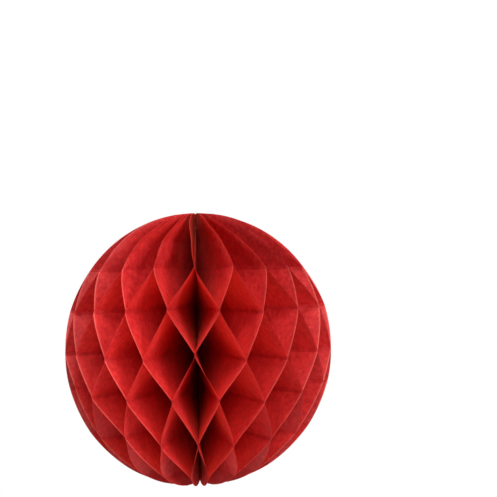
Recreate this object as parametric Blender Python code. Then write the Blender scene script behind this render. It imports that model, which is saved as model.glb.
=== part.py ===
"""A paper honeycomb ball: a fan of forty half-disc tissue leaves round an upright spine.

Neighbouring leaves are glued to each other in short level strips, on even columns at one
level and on odd columns at the next, so the open fan makes rows of diamond cells.  The fan
starts and ends on a stiff card.  The two cards meet back to back at the rear, +Y, and
adhesive strips hold them together.  Thread stitches bind the leaves beside the spine.
"""

import math

import bmesh
import bpy
from mathutils import Vector

MM = 0.001

# The ball.
HALF_HEIGHT = 101.5 * MM
HALF_WIDTH = 100.0 * MM
LEAVES = 40
LEVEL_TOP = 57.8 * MM
LEVEL_PITCH = 28.8 * MM
LEVELS = 6
STRIP_HEIGHT = 2.0 * MM

# The tissue.
TISSUE = 0.05 * MM
GLUE_GAP = 0.15 * MM
SPINE_RADIUS = 1.6 * MM
POLE_WIDTH = 1.2 * MM
TOP_LEAN = 0.45
TOP_LEAN_Z = 85.0 * MM

# The cover cards and what holds them together.
CARD = 0.4 * MM
CARD_INSET = 2.5 * MM
CARD_FROM_SPINE = 11.0 * MM
CARD_STEPS = 36
ADHESIVE = 0.1 * MM
ADHESIVE_GAP = 0.1 * MM
ADHESIVE_WIDTH = 12.0 * MM
ADHESIVE_HEIGHT = 45.0 * MM
ADHESIVE_Z = 36.0 * MM
ADHESIVE_Y = 62.0 * MM

# The binding.
THREAD = 0.5 * MM
THREAD_RING = 4.0 * MM
STITCH_Z = 90.0 * MM
HOLE_CLEARANCE = 0.45 * MM
HOLE = THREAD + 2 * HOLE_CLEARANCE

CARD_FACE = ADHESIVE / 2 + ADHESIVE_GAP
COLUMN_OFFSET = CARD_FACE + CARD + GLUE_GAP
MIDDLE_STITCH_Z = LEVEL_TOP - 1.75 * LEVEL_PITCH
STITCHES = {"thread_top": STITCH_Z, "thread_middle": MIDDLE_STITCH_Z, "thread_bottom": -STITCH_Z}


def clear_scene():
    for obj in list(bpy.data.objects):
        bpy.data.objects.remove(obj, do_unlink=True)


def material(name, colour, roughness):
    made = bpy.data.materials.new(name)
    made.use_nodes = True
    shader = made.node_tree.nodes["Principled BSDF"]
    shader.inputs["Base Color"].default_value = (*colour, 1.0)
    shader.inputs["Roughness"].default_value = roughness
    shader.inputs["Metallic"].default_value = 0.0
    return made


def add_object(name, bm, colour, roughness):
    """Make one named object with its own material out of a closed mesh."""
    bmesh.ops.recalc_face_normals(bm, faces=bm.faces)
    mesh = bpy.data.meshes.new(name)
    bm.to_mesh(mesh)
    bm.free()
    obj = bpy.data.objects.new(name, mesh)
    bpy.context.scene.collection.objects.link(obj)
    mesh.materials.append(material(name, colour, roughness))
    return obj


def outline_radius(z):
    """How far the cut edge of a half disc is from the spine axis at a height."""
    return HALF_WIDTH * math.sqrt(max(0.0, 1.0 - (z / HALF_HEIGHT) ** 2))


def column_line(column):
    """The plan of a glue column: its point at the spine and its point at full width."""
    def on_circle(radius):
        first = math.asin(COLUMN_OFFSET / radius)
        angle = first + column * (2 * math.pi - 2 * first) / LEAVES
        return Vector((radius * math.sin(angle), radius * math.cos(angle), 0.0))

    return on_circle(SPINE_RADIUS), on_circle(HALF_WIDTH)


def glue_levels():
    """Each glued level: its height and whether it is on the even columns."""
    return [(LEVEL_TOP - n * LEVEL_PITCH, n % 2 == 0) for n in range(LEVELS)]


def leaf_rows():
    """The rows of a leaf from the top down: height, and lean from -1 (odd) to 1 (even)."""
    top = HALF_HEIGHT - 0.3 * MM
    rows = [(top, 0.9), (HALF_HEIGHT * 0.965, 0.8), (TOP_LEAN_Z, TOP_LEAN)]
    rows.append(((TOP_LEAN_Z + LEVEL_TOP) / 2, (1 + TOP_LEAN) / 2))
    levels = glue_levels()
    for n, (z, even) in enumerate(levels):
        lean = 1.0 if even else -1.0
        rows.append((z + STRIP_HEIGHT / 2, lean))
        rows.append((z - STRIP_HEIGHT / 2, lean))
        if n + 1 < len(levels):
            rows.append((z - LEVEL_PITCH / 2, 0.0))
    rows.append((-HALF_HEIGHT * 0.93, -0.75))
    rows.append((-HALF_HEIGHT * 0.98, -0.6))
    rows.append((-top, -0.5))
    return rows


def lean_at(rows, z):
    for (z0, lean0), (z1, lean1) in zip(rows, rows[1:]):
        if z0 >= z >= z1:
            return lean0 + (lean1 - lean0) * (z0 - z) / (z0 - z1)
    raise ValueError("height outside the leaf")


def leaf_plan(number):
    """Where a leaf's two bounding columns run, which of them is even, and its normal."""
    low = column_line(number - 1)
    high = column_line(number)
    along = ((low[1] + high[1]) / 2 - (low[0] + high[0]) / 2).normalized()
    across = Vector((along.y, -along.x, 0.0))
    apart = across * (TISSUE + GLUE_GAP) / 2
    low = (low[0] + apart, low[1] + apart)
    high = (high[0] - apart, high[1] - apart)
    even, odd = (low, high) if number % 2 else (high, low)
    return even, odd, across


def leaf(number):
    """One tissue half disc, folded between its two columns, with its stitch holes."""
    even, odd, across = leaf_plan(number)
    rows = leaf_rows()
    middle = (even[0] + odd[0]) / 2
    full = ((even[1] + odd[1]) / 2 - middle).length
    hole_in = math.sqrt(THREAD_RING**2 - COLUMN_OFFSET**2 / 4) - SPINE_RADIUS - HOLE / 2
    heights = [z for z, _ in rows if all(abs(z - h) > HOLE for h in STITCHES.values())]
    holed = []
    for z in STITCHES.values():
        heights += [z + HOLE / 2, z - HOLE / 2]
        holed.append(z + HOLE / 2)
    heights.sort(reverse=True)

    def point(distance, z):
        lean = lean_at(rows, z)
        share = distance / full
        on_even = even[0].lerp(even[1], share)
        on_odd = odd[0].lerp(odd[1], share)
        place = on_odd.lerp(on_even, (1 + lean) / 2)
        return Vector((place.x, place.y, z))

    bm = bmesh.new()
    grid = []
    for z in heights:
        width = max(outline_radius(z) - SPINE_RADIUS, POLE_WIDTH)
        stations = [0.0, width]
        if any(abs(z - h) < 1e-9 or abs(z - h + HOLE) < 1e-9 for h in holed):
            stations = [0.0, hole_in, hole_in + HOLE, width]
        grid.append(
            [
                [bm.verts.new(point(d, z) + across * (side * TISSUE / 2)) for side in (-1, 1)]
                for d in stations
            ]
        )

    def both_sides(corners):
        bm.faces.new([pair[1] for pair in corners])
        bm.faces.new([pair[0] for pair in reversed(corners)])

    def wall(one, two):
        bm.faces.new([one[0], two[0], two[1], one[1]])

    for z, upper, lower in zip(heights, grid, grid[1:]):
        if any(abs(z - h) < 1e-9 for h in holed):
            strip_faces(upper[:2], lower[:2], both_sides)
            strip_faces(upper[2:], lower[2:], both_sides)
            hole = [upper[1], upper[2], lower[2], lower[1]]
            for one, two in zip(hole, hole[1:] + hole[:1]):
                wall(one, two)
        else:
            strip_faces(upper, lower, both_sides)
        wall(lower[0], upper[0])
        wall(upper[-1], lower[-1])
    for one, two in zip(grid[0], grid[0][1:]):
        wall(one, two)
    for one, two in zip(grid[-1], grid[-1][1:]):
        wall(two, one)
    tint = 0.58 if number % 2 else 0.54
    return add_object(f"leaf_{number:02d}", bm, (tint, 0.016, 0.018), 0.85)


def strip_faces(upper, lower, both_sides):
    """Fill between two rows with triangles; either row may carry the extra hole points."""
    if len(upper) >= len(lower):
        for one, two in zip(upper, upper[1:-1]):
            both_sides([lower[0], two, one])
        both_sides([lower[0], lower[-1], upper[-2]])
        both_sides([lower[-1], upper[-1], upper[-2]])
    else:
        for one, two in zip(lower, lower[1:-1]):
            both_sides([upper[0], one, two])
        both_sides([upper[0], lower[-2], upper[-1]])
        both_sides([upper[-1], lower[-2], lower[-1]])


def plate(name, outline, low, high, colour, roughness):
    """A flat plate with its outline in the Y-Z plane, from one X to another."""
    bm = bmesh.new()
    near = [bm.verts.new((low, y, z)) for y, z in outline]
    far = [bm.verts.new((high, y, z)) for y, z in outline]
    bm.faces.new(near)
    bm.faces.new(list(reversed(far)))
    count = len(outline)
    for n in range(count):
        m = (n + 1) % count
        bm.faces.new([near[m], near[n], far[n], far[m]])
    return add_object(name, bm, colour, roughness)


def cover_card(name, side):
    """A half-disc card, a little smaller than the leaves and clear of the spine."""
    wide = HALF_WIDTH - CARD_INSET
    tall = HALF_HEIGHT - CARD_INSET
    end = math.acos(CARD_FROM_SPINE / wide)
    outline = []
    for n in range(CARD_STEPS + 1):
        angle = end - n * 2 * end / CARD_STEPS
        outline.append((wide * math.cos(angle), tall * math.sin(angle)))
    low, high = sorted((side * CARD_FACE, side * (CARD_FACE + CARD)))
    return plate(name, outline, low, high, (0.50, 0.020, 0.022), 0.6)


def adhesive(name, z):
    half_y = ADHESIVE_WIDTH / 2
    half_z = ADHESIVE_HEIGHT / 2
    outline = [
        (ADHESIVE_Y - half_y, z - half_z),
        (ADHESIVE_Y + half_y, z - half_z),
        (ADHESIVE_Y + half_y, z + half_z),
        (ADHESIVE_Y - half_y, z + half_z),
    ]
    return plate(name, outline, -ADHESIVE / 2, ADHESIVE / 2, (0.85, 0.80, 0.62), 0.35)


def thread(name, z):
    """One stitch: a ring of thread that passes through every leaf beside the spine."""
    bm = bmesh.new()
    around, sides = 36, 6
    rings = []
    for n in range(around):
        angle = 2 * math.pi * n / around
        out = Vector((math.sin(angle), math.cos(angle), 0.0))
        ring = []
        for k in range(sides):
            turn = 2 * math.pi * k / sides
            radius = THREAD_RING + THREAD / 2 * math.cos(turn)
            ring.append(bm.verts.new(out * radius + Vector((0, 0, z + THREAD / 2 * math.sin(turn)))))
        rings.append(ring)
    for n in range(around):
        one, two = rings[n], rings[(n + 1) % around]
        for k in range(sides):
            m = (k + 1) % sides
            face = bm.faces.new([one[k], two[k], two[m], one[m]])
            face.smooth = True
    return add_object(name, bm, (0.80, 0.78, 0.74), 0.7)


clear_scene()
for leaf_number in range(1, LEAVES + 1):
    leaf(leaf_number)
cover_card("cover_card_a", 1)
cover_card("cover_card_b", -1)
adhesive("adhesive_upper", ADHESIVE_Z)
adhesive("adhesive_lower", -ADHESIVE_Z)
for stitch_name, stitch_z in STITCHES.items():
    thread(stitch_name, stitch_z)
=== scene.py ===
import math

import bmesh
import bpy
import numpy as np
from mathutils import Matrix, Vector


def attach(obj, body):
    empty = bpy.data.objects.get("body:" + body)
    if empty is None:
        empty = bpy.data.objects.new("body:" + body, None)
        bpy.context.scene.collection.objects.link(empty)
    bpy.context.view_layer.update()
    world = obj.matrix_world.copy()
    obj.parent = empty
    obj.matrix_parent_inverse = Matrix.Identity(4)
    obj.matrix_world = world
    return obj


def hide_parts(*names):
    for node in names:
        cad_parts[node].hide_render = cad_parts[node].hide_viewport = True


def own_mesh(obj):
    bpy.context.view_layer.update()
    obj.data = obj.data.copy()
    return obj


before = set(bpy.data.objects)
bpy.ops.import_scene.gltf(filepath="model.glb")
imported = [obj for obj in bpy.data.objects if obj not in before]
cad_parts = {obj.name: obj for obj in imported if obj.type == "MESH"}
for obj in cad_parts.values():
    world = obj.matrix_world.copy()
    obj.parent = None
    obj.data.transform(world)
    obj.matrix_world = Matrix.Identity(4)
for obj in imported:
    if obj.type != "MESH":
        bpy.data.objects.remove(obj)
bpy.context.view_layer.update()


# ---- The tissue leaves -------------------------------------------------------------------
# Forty half discs of thin red tissue paper, die-cut in one pile.  Each is glued to the next
# along short level strips, on even columns at one level and on odd columns at the next, so
# the open pile makes rows of diamond cells.  The cut edges are paler, where fibres fray, and
# carry painted light: they are paler still where a leaf faces up, as if lit from above.

MM = 0.001
LEAVES = 40
HALF_HEIGHT = 101.5 * MM
HALF_WIDTH = 100.0 * MM
LEVEL_TOP = 57.8 * MM
LEVEL_PITCH = 28.8 * MM
LEVELS = 6
STRIP_HEIGHT = 2.0 * MM
SPINE_RADIUS = 0.3 * MM
SPINE_FIRST = math.radians(3.0)
COLUMN_OFFSET = 0.70 * MM
GLUE_SHIFT = 0.0065
POLE_WIDTH = 1.2 * MM
UNEVEN = 0.02  # one side reaches this share further than the middle
END_ROW = 0.3 * MM  # from the pole to a leaf's last row
FREE_HEIGHTS = (65.0 * MM, 76.0 * MM, 94.0 * MM)
LOW_FREE = -95.0 * MM
ROW_STEP = 1.9 * MM
SPINE_SOFTNESS = 0.85
RIM_SHARPNESS = 0.75
CREASE_FROM = 0.65  # share of the way out where the folds at a glue strip turn sharp


class Socket:
    """A shader value: an expression on it adds the Math nodes."""

    def __init__(self, tree, out):
        self.tree = tree
        self.out = out

    def math(self, operation, *values):
        return shader_node(self.tree, "Math", {"operation": operation}, dict(enumerate(values)))

    def __add__(self, other):
        return self.math("ADD", self, other)

    def __sub__(self, other):
        return self.math("SUBTRACT", self, other)

    def __mul__(self, other):
        return self.math("MULTIPLY", self, other)

    def __truediv__(self, other):
        return self.math("DIVIDE", self, other)

    def __rsub__(self, other):
        return self.math("SUBTRACT", other, self)

    __radd__ = __add__
    __rmul__ = __mul__

    def clamp(self):
        return self.math("MINIMUM", self.math("MAXIMUM", self, 0.0), 1.0)


def shader_node(tree, kind, settings=None, inputs=None, output=0):
    """Add a node, set its settings, feed its sockets and give back one output."""
    node = tree.nodes.new("ShaderNode" + kind)
    for key, value in (settings or {}).items():
        setattr(node, key, value)
    for key, value in (inputs or {}).items():
        if isinstance(value, Socket):
            tree.links.new(value.out, node.inputs[key])
        else:
            node.inputs[key].default_value = value
    return Socket(tree, node.outputs[output]) if node.outputs else None


def noise(tree, place, scale, detail, roughness=0.5):
    inputs = {"Vector": place, "Scale": scale, "Detail": detail, "Roughness": roughness}
    return shader_node(tree, "TexNoise", None, inputs)


def mix_colour(tree, share, one, two, blend="MIX"):
    settings = {"data_type": "RGBA", "blend_type": blend, "clamp_factor": True}
    return shader_node(tree, "Mix", settings, {0: share, 6: one, 7: two}, output=2)


def new_material(name):
    made = bpy.data.materials.new(name)
    made.use_nodes = True
    tree = made.node_tree
    tree.nodes.clear()
    return made, tree


def tissue_material():
    """Thin red tissue: cloudy fibres, crumples by the glue, pressed strips and a pale frayed edge with
    painted light, paler where the leaf faces up.
    """
    made, tree = new_material("red_tissue")
    place = shader_node(tree, "TexCoord", output=3)
    edge = shader_node(tree, "Attribute", {"attribute_name": "edge_mm"}, output=2)
    strip = shader_node(tree, "Attribute", {"attribute_name": "strip_mm"}, output=2)
    clouds = noise(tree, place, 70.0, 5.0, 0.65)
    fibres = noise(tree, place, 1100.0, 3.0, 0.7)
    long_fibres = shader_node(tree, "Mapping", None, {"Vector": place, "Scale": (1.0, 1.0, 0.22)})
    grain = noise(tree, long_fibres, 1500.0, 2.0)
    mottle = noise(tree, place, 320.0, 3.0, 0.6)
    fray = noise(tree, place, 420.0, 3.0)
    # Painted light: the face's up component makes the pale edge strong where a leaf tilts up and faint where
    # it tilts down, as if lit from above.
    face = shader_node(tree, "NewGeometry", output=3)
    tilt = shader_node(tree, "SeparateXYZ", None, {0: face}, output=2)
    frayed_edge_and_painted_light = (1.25 - edge / (0.4 + fray * 1.3)).clamp() * (0.15 + (tilt * 4.0 + 0.4).clamp() * 0.85)
    on_strip = (1.0 - (strip - 1.0) / 0.3).clamp()
    near_glue = (1.0 - (strip - 1.0) / 9.0).clamp()
    base = mix_colour(tree, (clouds - 0.3) * 2.5, (0.48, 0.011, 0.017, 1), (0.74, 0.023, 0.027, 1))
    base = mix_colour(tree, (fibres - 0.45) * 2.4, base, (0.84, 0.055, 0.048, 1))
    base = mix_colour(tree, (0.5 - grain) * 2.2, base, (0.50, 0.006, 0.010, 1))
    base = mix_colour(tree, (mottle - 0.5) * 3.0, base, (0.88, 0.055, 0.045, 1))
    base = mix_colour(tree, (0.48 - mottle) * 3.4, base, (0.38, 0.004, 0.010, 1))
    base = mix_colour(tree, on_strip * 0.22, base, (0.55, 0.008, 0.012, 1))
    # Pale edge colour: partly real frayed fibres, partly painted light on edges that face up.
    base = mix_colour(tree, frayed_edge_and_painted_light * 0.6, base, (0.98, 0.22, 0.18, 1))
    folds = shader_node(tree, "TexVoronoi", None, {"Vector": place, "Scale": 85.0})
    patches = noise(tree, place, 26.0, 1.0)
    crumpled = ((patches - 0.42) * 4.0).clamp() * (0.25 + near_glue * 0.75)
    waves = noise(tree, place, 55.0, 2.0)
    height = fibres * 0.00005 + grain * 0.00003 + waves * 0.0026 + mottle * 0.0003
    height = height + folds * crumpled * 0.0036 + on_strip * 0.00008
    bump = shader_node(tree, "Bump", None, {"Height": height, "Strength": 0.6, "Distance": 1.0})
    rough = 0.48 + clouds * 0.2 + frayed_edge_and_painted_light * 0.1
    lint = {"Sheen Weight": 0.10, "Sheen Roughness": 0.3, "Sheen Tint": (1.0, 0.30, 0.14, 1)}
    inputs = {"Base Color": base, "Roughness": rough, "Normal": bump, **lint}
    paper = shader_node(tree, "BsdfPrincipled", None, inputs)
    glow = shader_node(tree, "BsdfTranslucent", None, {"Color": (0.80, 0.03, 0.018, 1)})
    both = shader_node(tree, "MixShader", None, {0: 0.36, 1: paper, 2: glow})
    shader_node(tree, "OutputMaterial", None, {"Surface": both})
    return made


def on_circle(column, radius):
    """A column's point on a circle round the spine, seen from above."""
    first = math.asin(COLUMN_OFFSET / radius) if radius > COLUMN_OFFSET else SPINE_FIRST
    angle = first + column * (2 * math.pi - 2 * first) / LEAVES
    return np.array([radius * math.sin(angle), radius * math.cos(angle)])


random = np.random.default_rng(8)
shift = random.normal(0.0, 0.06, (LEAVES + 1, LEVELS))
rise = random.normal(0.0, 0.5, (LEAVES + 1, LEVELS))
shift[12:29] *= 0.3
rise[12:29] = 0.0
rise += (0.2, 0.0, -1.3, 1.6, 0.0, 0.0)
# Glued spots on the front that were pulled aside, in columns, or up, in millimetres.
for column, level, columns in (
    (22, 0, 0.07), (16, 0, 0.15), (14, 0, 0.43), (12, 0, 0.5), (23, 1, 0.07), (21, 1, 0.14), (19, 1, -0.07),
    (13, 1, -0.1), (26, 2, 0.11), (22, 2, 0.1), (20, 2, 0.0), (18, 2, -0.08), (14, 2, -0.09), (12, 2, -0.18),
    (27, 3, -0.33), (25, 3, 0.13), (15, 3, -0.13), (13, 3, -0.14), (24, 4, -0.28), (22, 4, -0.19),
    (20, 4, -0.06), (18, 4, 0.14), (23, 5, -0.24), (21, 5, -0.42), (19, 5, 0.2), (17, 5, 0.05),
):
    shift[column, level] = columns
for column, level, millimetres in (
    (26, 0, -1.1), (16, 0, -1.5), (14, 0, -1.3), (12, 0, -1.5), (27, 1, -1.5), (21, 1, 1.4), (17, 1, -1.5),
    (26, 2, 1.7), (20, 2, 2.9), (18, 2, -1.2), (16, 2, -2.2), (12, 2, -1.5), (27, 3, 4.0), (17, 3, -3.3),
    (13, 3, 2.5), (24, 4, 4.5), (18, 4, -1.4),
):
    rise[column, level] += millimetres
# The column that each leaf's cut edge is at above the top glued level, at the FREE_HEIGHTS.
numbers = np.arange(LEAVES + 1)
evens = numbers - numbers % 2
leans = ((0.06, 0.03), (0.22, 0.08), (0.7, 0.12))
free = np.stack([random.normal(mean, spread, LEAVES + 1) for mean, spread in leans], axis=1)
free = evens[:, None] + free.clip(0.0, 0.95) * np.where(numbers % 2, 1.0, -1.0)[:, None]
for number, *columns in (
    (12, 12.9, 13.2, 13.6), (13, 12.94, 13.24, 13.64), (14, 14.6, 14.9, 15.3), (15, 14.64, 14.94, 15.34),
    (16, 16.35, 16.8, 17.9), (17, 16.37, 16.82, 17.93), (18, 18.05, 18.22, 18.8), (19, 18.1, 18.27, 18.88),
    (20, 19.96, 19.94, 19.9), (21, 20.1, 20.19, 20.55), (22, 22.02, 22.03, 21.2), (23, 22.08, 22.12, 21.6),
    (24, 23.95, 23.77, 22.7), (25, 24.05, 24.0, 23.4), (1, 0.02, 0.03, 0.04), (40, 39.98, 39.97, 39.96),
):
    free[number] = columns


def leaf_rows(number):
    """The rows that shape a leaf, from the top: height, spine point and point at full width."""
    even, odd = (number - 1, number) if number % 2 else (number, number - 1)
    high, middle, top = free[number, 0], free[number, 1], free[number, 2]
    rows = [(HALF_HEIGHT - END_ROW, top), *zip(FREE_HEIGHTS[::-1], (top, middle, high))]
    for n in range(LEVELS):
        column = odd if n % 2 else even
        z = LEVEL_TOP - n * LEVEL_PITCH + rise[column, n] * MM
        held = column + shift[column, n] + (GLUE_SHIFT if column < number else -GLUE_SHIFT)
        rows += [(z + STRIP_HEIGHT / 2, held), (z - STRIP_HEIGHT / 2, held)]
    last = {1: 0.03, LEAVES: LEAVES - 0.03}.get(number, held + 0.05 * (even - odd))
    rows += [(LOW_FREE, (held + last) / 2), (-HALF_HEIGHT + END_ROW, last)]
    return [(z, on_circle(column, SPINE_RADIUS), on_circle(column, HALF_WIDTH)) for z, column in rows]


# Shares of the way out.  The first point of each row is the edge turned in at the spine.
ACROSS_SHARES = [
    0.0, 0.0, 0.03, 0.1, 0.2, 0.3, 0.4, 0.5, 0.6, 0.69, 0.77, 0.84, 0.9, 0.94, 0.97, 0.985, 0.994, 1.0
]


def leaf_heights(rows):
    """Heights of the mesh rows: close together at the glue strips and at the poles."""
    heights = []
    for (upper, *_), (lower, *_) in zip(rows, rows[1:]):
        steps = max(1, round((upper - lower) / ROW_STEP))
        heights += [upper + (lower - upper) * k / steps for k in range(steps)]
    heights.append(rows[-1][0])
    return heights


def tissue_leaf(number):
    """One leaf as a sheet of rows and columns, with how far each point is from its edge and strip."""
    rows = leaf_rows(number)
    along = (on_circle(number - 1, HALF_WIDTH) + on_circle(number, HALF_WIDTH)) / 2
    along = along / np.linalg.norm(along)
    heights = leaf_heights(rows)
    pinched = on_circle(min(number + 1, LEAVES), SPINE_RADIUS)
    spots, edge_mm, strip_mm = [], [], []
    for z in heights:
        for (z0, spine0, full0), (z1, spine1, full1) in zip(rows, rows[1:]):
            if z0 >= z >= z1:
                t = (z0 - z) / (z0 - z1)
                break
        reach = HALF_WIDTH * (1 + UNEVEN * along[0]) * math.sqrt(max(0.0, 1 - (z / HALF_HEIGHT) ** 2))
        width = max(reach - SPINE_RADIUS, POLE_WIDTH)
        share = width / (HALF_WIDTH - SPINE_RADIUS)
        strip = min(abs(z - (rows[4 + 2 * n][0] + rows[5 + 2 * n][0]) / 2) for n in range(LEVELS))
        for n, s in enumerate(ACROSS_SHARES):
            soft = t + (SPINE_SOFTNESS - RIM_SHARPNESS * share * s) * (t * t * (3 - 2 * t) - t)
            spine_point = spine0 + (spine1 - spine0) * soft
            full_point = full0 + (full1 - full0) * soft
            spot = spine_point + (full_point - spine_point) * (share * s) if n else pinched
            spots.append((spot[0], spot[1], z))
            edge_mm.append(width * (1 - s) / MM)
            strip_mm.append(strip / MM)
    count = len(ACROSS_SHARES)
    faces = []
    for r in range(len(heights) - 1):
        for c in range(count - 1):
            a = r * count + c
            faces.append((a, a + count, a + count + 1, a + 1))
    mesh = bpy.data.meshes.new(f"tissue_{number:02d}")
    mesh.from_pydata(spots, [], faces)
    for name, values in (("edge_mm", edge_mm), ("strip_mm", strip_mm)):
        mesh.attributes.new(name, "FLOAT", "POINT").data.foreach_set("value", values)
    mesh.shade_smooth()
    creases = {r for r, z in enumerate(heights) if any(abs(z - row[0]) < 1e-9 for row in rows[4:-2])}
    folded = []
    for edge in mesh.edges:
        (row, across), (other, _) = (divmod(v, count) for v in edge.vertices)
        folded.append(row == other and row in creases and ACROSS_SHARES[across] > CREASE_FROM)
    mesh.attributes.new("sharp_edge", "BOOLEAN", "EDGE").data.foreach_set("value", folded)
    mesh.materials.append(TISSUE)
    leaf = bpy.data.objects.new(f"tissue_{number:02d}", mesh)
    bpy.context.scene.collection.objects.link(leaf)
    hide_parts(f"leaf_{number:02d}")
    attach(leaf, f"leaf_{number:02d}")
    middle = (rows[0][1] + rows[-1][1]) / 2
    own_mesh(leaf)


TISSUE = tissue_material()
for leaf_number in range(1, LEAVES + 1):
    tissue_leaf(leaf_number)


# ---- The cover cards -----------------------------------------------------------------------
# A half disc of red paper-faced board behind the first leaf and one behind the last.  They
# are punched a little smaller than the leaves, so their bare grey edge hardly shows.

CARD = 0.4 * MM
CARD_FACE = 0.15 * MM
CARD_INSET = 2.5 * MM
CARD_FROM_SPINE = 11.0 * MM


def card_material():
    """Red lining paper on board: a fine felt grain, faint pressing marks and rubbed patches."""
    made, tree = new_material("red_card")
    place = shader_node(tree, "TexCoord", output=3)
    felt = noise(tree, place, 1600.0, 3.0)
    cloud = noise(tree, place, 60.0, 4.0)
    rubbed = noise(tree, place, 22.0, 6.0, 0.7)
    base = mix_colour(tree, cloud, (0.40, 0.012, 0.016, 1), (0.52, 0.020, 0.022, 1))
    base = mix_colour(tree, ((rubbed - 0.58) * 5.0).clamp() * 0.4, base, (0.66, 0.08, 0.07, 1))
    base = mix_colour(tree, (felt - 0.5) * 1.5, base, (0.60, 0.05, 0.05, 1))
    height = felt * 0.00004 + cloud * 0.0003
    bump = shader_node(tree, "Bump", None, {"Height": height, "Strength": 0.5, "Distance": 1.0})
    inputs = {"Base Color": base, "Roughness": 0.45 + cloud * 0.25, "Normal": bump}
    face = shader_node(tree, "BsdfPrincipled", None, inputs)
    shader_node(tree, "OutputMaterial", None, {"Surface": face})
    return made


def board_material():
    """The cut edge of the board: grey pulp in thin layers, tinted by the lining paper."""
    made, tree = new_material("board_edge")
    place = shader_node(tree, "TexCoord", output=3)
    layered = shader_node(tree, "Mapping", None, {"Vector": place, "Scale": (14.0, 1.0, 1.0)})
    layers = noise(tree, layered, 900.0, 4.0)
    pulp = noise(tree, place, 2500.0, 2.0)
    base = mix_colour(tree, layers, (0.30, 0.22, 0.19, 1), (0.56, 0.47, 0.41, 1))
    base = mix_colour(tree, (pulp - 0.4) * 1.2, base, (0.50, 0.16, 0.13, 1))
    bump = shader_node(tree, "Bump", None, {"Height": layers * 0.00008 + pulp * 0.00004, "Distance": 1.0})
    inputs = {"Base Color": base, "Roughness": 0.8 + pulp * 0.15, "Normal": bump}
    edge = shader_node(tree, "BsdfPrincipled", None, inputs)
    shader_node(tree, "OutputMaterial", None, {"Surface": edge})
    return made


def flat_plate(name, outline, low, high, materials):
    """A thin plate in the Y-Z plane; its rim takes the second material."""
    shape = bmesh.new()
    near = [shape.verts.new((low, y, z)) for y, z in outline]
    far = [shape.verts.new((high, y, z)) for y, z in outline]
    shape.faces.new(near)
    shape.faces.new(far[::-1])
    for n in range(len(outline)):
        wall = shape.faces.new([near[n], near[n - 1], far[n - 1], far[n]])
        wall.material_index = len(materials) - 1
    bmesh.ops.recalc_face_normals(shape, faces=shape.faces)
    mesh = bpy.data.meshes.new(name)
    shape.to_mesh(mesh)
    shape.free()
    for one in materials:
        mesh.materials.append(one)
    plate = bpy.data.objects.new(name, mesh)
    bpy.context.scene.collection.objects.link(plate)
    return plate


wide, tall = HALF_WIDTH - CARD_INSET, HALF_HEIGHT - CARD_INSET
card_end = math.acos(CARD_FROM_SPINE / wide)
card_outline = [(wide * math.cos(a), tall * math.sin(a)) for a in np.linspace(card_end, -card_end, 121)]
card_materials = [card_material(), board_material()]
# Closed, each card lies outside the leaves: it moves out by its own depth, as a 1 % squash from afar.
for card_node, card_side in (("cover_card_a", 1), ("cover_card_b", -1)):
    faces_x = sorted((card_side * CARD_FACE, card_side * (CARD_FACE + CARD)))
    card = flat_plate(card_node.replace("cover_", "board_"), card_outline, *faces_x, card_materials)
    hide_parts(card_node)
    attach(card, card_node)
    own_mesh(card)


# ---- The adhesive strips -------------------------------------------------------------------
# Two strips of thin double-sided film on the first card.  When the fan is opened all the
# way round they stick the two cards together and keep the ball round.

ADHESIVE = 0.1 * MM
ADHESIVE_WIDTH = 12.0 * MM
ADHESIVE_HEIGHT = 45.0 * MM
ADHESIVE_Y = 62.0 * MM
ADHESIVE_Z = 36.0 * MM


def adhesive_material():
    """Milky yellow adhesive film with small air bubbles and a satin skin."""
    made, tree = new_material("adhesive_film")
    place = shader_node(tree, "TexCoord", output=3)
    haze = noise(tree, place, 120.0, 5.0)
    cells = shader_node(tree, "TexVoronoi", None, {"Vector": place, "Scale": 700.0})
    bubbles = (1.0 - cells / 0.22).clamp() * ((haze - 0.45) * 6.0).clamp()
    base = mix_colour(tree, haze, (0.78, 0.70, 0.50, 1), (0.90, 0.86, 0.72, 1))
    base = mix_colour(tree, bubbles * 0.5, base, (0.96, 0.95, 0.92, 1))
    bump = shader_node(tree, "Bump", None, {"Height": bubbles * 0.00006 + haze * 0.0001, "Distance": 1.0})
    inputs = {"Base Color": base, "Roughness": 0.22 + haze * 0.3, "Normal": bump}
    film = shader_node(tree, "BsdfPrincipled", None, inputs)
    shader_node(tree, "OutputMaterial", None, {"Surface": film})
    return made


FILM = adhesive_material()
for strip_node, strip_z in (("adhesive_upper", ADHESIVE_Z), ("adhesive_lower", -ADHESIVE_Z)):
    strip_outline = []
    for corner, (y_side, z_side) in enumerate(((1, 1), (-1, 1), (-1, -1), (1, -1))):
        for step in range(5):
            swing = math.radians(90 * corner + 22.5 * step)
            y = ADHESIVE_Y + y_side * (ADHESIVE_WIDTH / 2 - MM) + MM * math.cos(swing)
            z = strip_z + z_side * (ADHESIVE_HEIGHT / 2 - MM) + MM * math.sin(swing)
            strip_outline.append((y, z))
    film_name = strip_node.replace("adhesive", "film")
    film_strip = flat_plate(film_name, strip_outline, -ADHESIVE / 2, ADHESIVE / 2, [FILM])
    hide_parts(strip_node)
    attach(film_strip, "cover_card_a")
    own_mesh(film_strip)


# ---- The thread stitches -------------------------------------------------------------------
# Three loops of off-white two-ply cotton that pass through every leaf beside the spine and
# bind the pile.  On the real ball they draw flat when the fan closes; here each is a rigid ring
# that moves with the first card.

THREAD = 0.5 * MM
THREAD_RING = 4.0 * MM
STITCH_Z = 90.0 * MM
MIDDLE_STITCH_Z = LEVEL_TOP - 1.75 * LEVEL_PITCH


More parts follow.
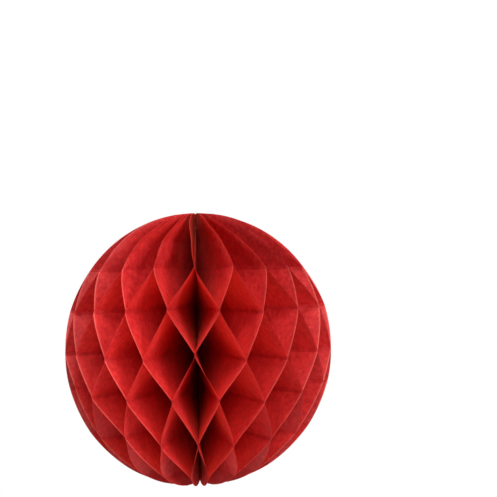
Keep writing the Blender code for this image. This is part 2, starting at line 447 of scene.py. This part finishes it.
def thread_material():
    """Off-white cotton: pale fibres and faint reddish dust."""
    made, tree = new_material("cotton_thread")
    place = shader_node(tree, "TexCoord", output=3)
    lint = noise(tree, place, 5000.0, 3.0)
    dust = noise(tree, place, 400.0, 2.0)
    base = mix_colour(tree, lint, (0.62, 0.58, 0.52, 1), (0.86, 0.84, 0.79, 1))
    base = mix_colour(tree, (dust - 0.45) * 1.5, base, (0.74, 0.40, 0.36, 1))
    bump = shader_node(tree, "Bump", None, {"Height": lint * 0.00006, "Distance": 1.0})
    inputs = {"Base Color": base, "Roughness": 0.75 + lint * 0.2, "Normal": bump}
    cotton = shader_node(tree, "BsdfPrincipled", None, inputs)
    shader_node(tree, "OutputMaterial", None, {"Surface": cotton})
    return made


COTTON = thread_material()
PLY_TURNS, PLY_STEPS, PLY_SIDES = 28, 336, 6
for stitch_node, stitch_z in (
    ("thread_top", STITCH_Z), ("thread_middle", MIDDLE_STITCH_Z), ("thread_bottom", -STITCH_Z)
):
    shape = bmesh.new()
    for ply in (0.0, math.pi):
        rings = []
        for n in range(PLY_STEPS):
            angle = 2 * math.pi * n / PLY_STEPS
            twist = PLY_TURNS * angle + ply
            ring = []
            for k in range(PLY_SIDES):
                around = 2 * math.pi * k / PLY_SIDES
                out = THREAD_RING + THREAD / 4 * (math.cos(twist) + math.cos(around))
                z = stitch_z + THREAD / 4 * (math.sin(twist) + math.sin(around))
                ring.append(shape.verts.new((out * math.sin(angle), out * math.cos(angle), z)))
            rings.append(ring)
        for n in range(PLY_STEPS):
            for k in range(PLY_SIDES):
                m = (k + 1) % PLY_SIDES
                shape.faces.new([rings[n - 1][k], rings[n][k], rings[n][m], rings[n - 1][m]]).smooth = True
    bmesh.ops.recalc_face_normals(shape, faces=shape.faces)
    mesh = bpy.data.meshes.new(stitch_node.replace("thread", "stitch"))
    shape.to_mesh(mesh)
    shape.free()
    mesh.materials.append(COTTON)
    stitch = bpy.data.objects.new(mesh.name, mesh)
    bpy.context.scene.collection.objects.link(stitch)
    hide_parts(stitch_node)
    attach(stitch, "cover_card_a")
    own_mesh(stitch)


# ---- Camera, floor and light --------------------------------------------------------------
# The ball hangs over a plain pale floor.  Five big soft lamps and a faint white sky light it,
# and the camera sees that sky as plain white.

FRAME_SIDE = 497
BALL_AT = (197.6, 345.4)
BALL_RADIUS = 131.2
CAMERA_DISTANCE = 5.0 * HALF_WIDTH
CAMERA_AZIMUTH = math.radians(1.07)
CAMERA_ELEVATION = math.radians(4.65)
CAMERA_ROLL = math.radians(-1.02)
LAMP_DISTANCE = 1.7
LAMP_SIZE = 0.8
FLOOR_Z = -0.62
FLOOR_RADIUS = 1.2
SKY_SEEN = 1.0
SKY_LIGHT = 0.08

focal = BALL_RADIUS / math.tan(math.asin(HALF_WIDTH / CAMERA_DISTANCE))
back = Vector((
    math.sin(CAMERA_AZIMUTH) * math.cos(CAMERA_ELEVATION),
    -math.cos(CAMERA_AZIMUTH) * math.cos(CAMERA_ELEVATION),
    math.sin(CAMERA_ELEVATION),
))
camera = bpy.data.objects.new("camera", bpy.data.cameras.new("camera"))
bpy.context.scene.collection.objects.link(camera)
camera.data.sensor_width = 36.0
camera.data.lens = 36.0 * focal / FRAME_SIDE
camera.data.clip_start = 0.01
camera.data.clip_end = 20.0
towards = -back
aim = Vector((BALL_AT[0] - FRAME_SIDE / 2, FRAME_SIDE / 2 - BALL_AT[1], -focal)).normalized()
up = Vector((0, 0, 1)) - towards * towards.z
up = Matrix.Rotation(CAMERA_ROLL, 3, back) @ up.normalized()
image_up = Vector((aim.x / -aim.z, (aim.z**2 + aim.x**2) / (aim.z * aim.y), -1.0)).normalized()
world_axes = Matrix((up, towards, up.cross(towards))).transposed()
image_axes = Matrix((image_up, aim, image_up.cross(aim))).transposed()
camera_turn = world_axes @ image_axes.transposed()
camera.matrix_world = Matrix.Translation(back * CAMERA_DISTANCE) @ camera_turn.to_4x4()
bpy.context.scene.camera = camera


def soft_lamp(name, place, power):
    lamp = bpy.data.objects.new(name, bpy.data.lights.new(name, "AREA"))
    lamp.data.shape = "DISK"
    lamp.data.size = LAMP_SIZE
    lamp.data.energy = power
    lamp.location = place
    lamp.rotation_euler = (-Vector(place)).to_track_quat("-Z", "Y").to_euler()
    bpy.context.scene.collection.objects.link(lamp)


for lamp_name, azimuth, elevation, power in (
    ("key_lamp", 42, 15, 22.5),
    ("side_lamp", -64, 12, 12.5),
    ("front_lamp", 4, 32, 11.0),
    ("top_lamp", 0, 68, 17.0),
    ("back_lamp", 180, 12, 16.0),
):
    turn, tilt = math.radians(azimuth), math.radians(elevation)
    place = Vector((math.sin(turn) * math.cos(tilt), -math.cos(turn) * math.cos(tilt), math.sin(tilt)))
    soft_lamp(lamp_name, place * LAMP_DISTANCE, power)

floor_disc = bmesh.new()
floor_at = Matrix.Translation((0, 0, FLOOR_Z))
bmesh.ops.create_circle(floor_disc, cap_ends=True, segments=96, radius=FLOOR_RADIUS, matrix=floor_at)
floor_mesh = bpy.data.meshes.new("floor")
floor_disc.to_mesh(floor_mesh)
floor_disc.free()
floor_paint, floor_tree = new_material("pale_floor")
floor_place = shader_node(floor_tree, "TexCoord", output=3)
floor_grain = noise(floor_tree, floor_place, 3.0, 5.0)
floor_colour = mix_colour(floor_tree, floor_grain, (0.70, 0.70, 0.70, 1), (0.76, 0.76, 0.75, 1))
floor_inputs = {"Base Color": floor_colour, "Roughness": 0.6 + floor_grain * 0.2}
floor_paper = shader_node(floor_tree, "BsdfPrincipled", None, floor_inputs)
shader_node(floor_tree, "OutputMaterial", None, {"Surface": floor_paper})
floor_mesh.materials.append(floor_paint)
floor = bpy.data.objects.new("floor", floor_mesh)
bpy.context.scene.collection.objects.link(floor)

world = bpy.data.worlds.new("pale_room")
world.use_nodes = True
sky = world.node_tree
sky.nodes.clear()
seen = shader_node(sky, "LightPath", output=0)
strength = seen * (SKY_SEEN - SKY_LIGHT) + SKY_LIGHT
room = shader_node(sky, "Background", None, {"Color": (1.0, 1.0, 1.0, 1.0), "Strength": strength})
shader_node(sky, "OutputWorld", None, {"Surface": room})
bpy.context.scene.world = world
bpy.context.scene.view_settings.view_transform = "Standard"
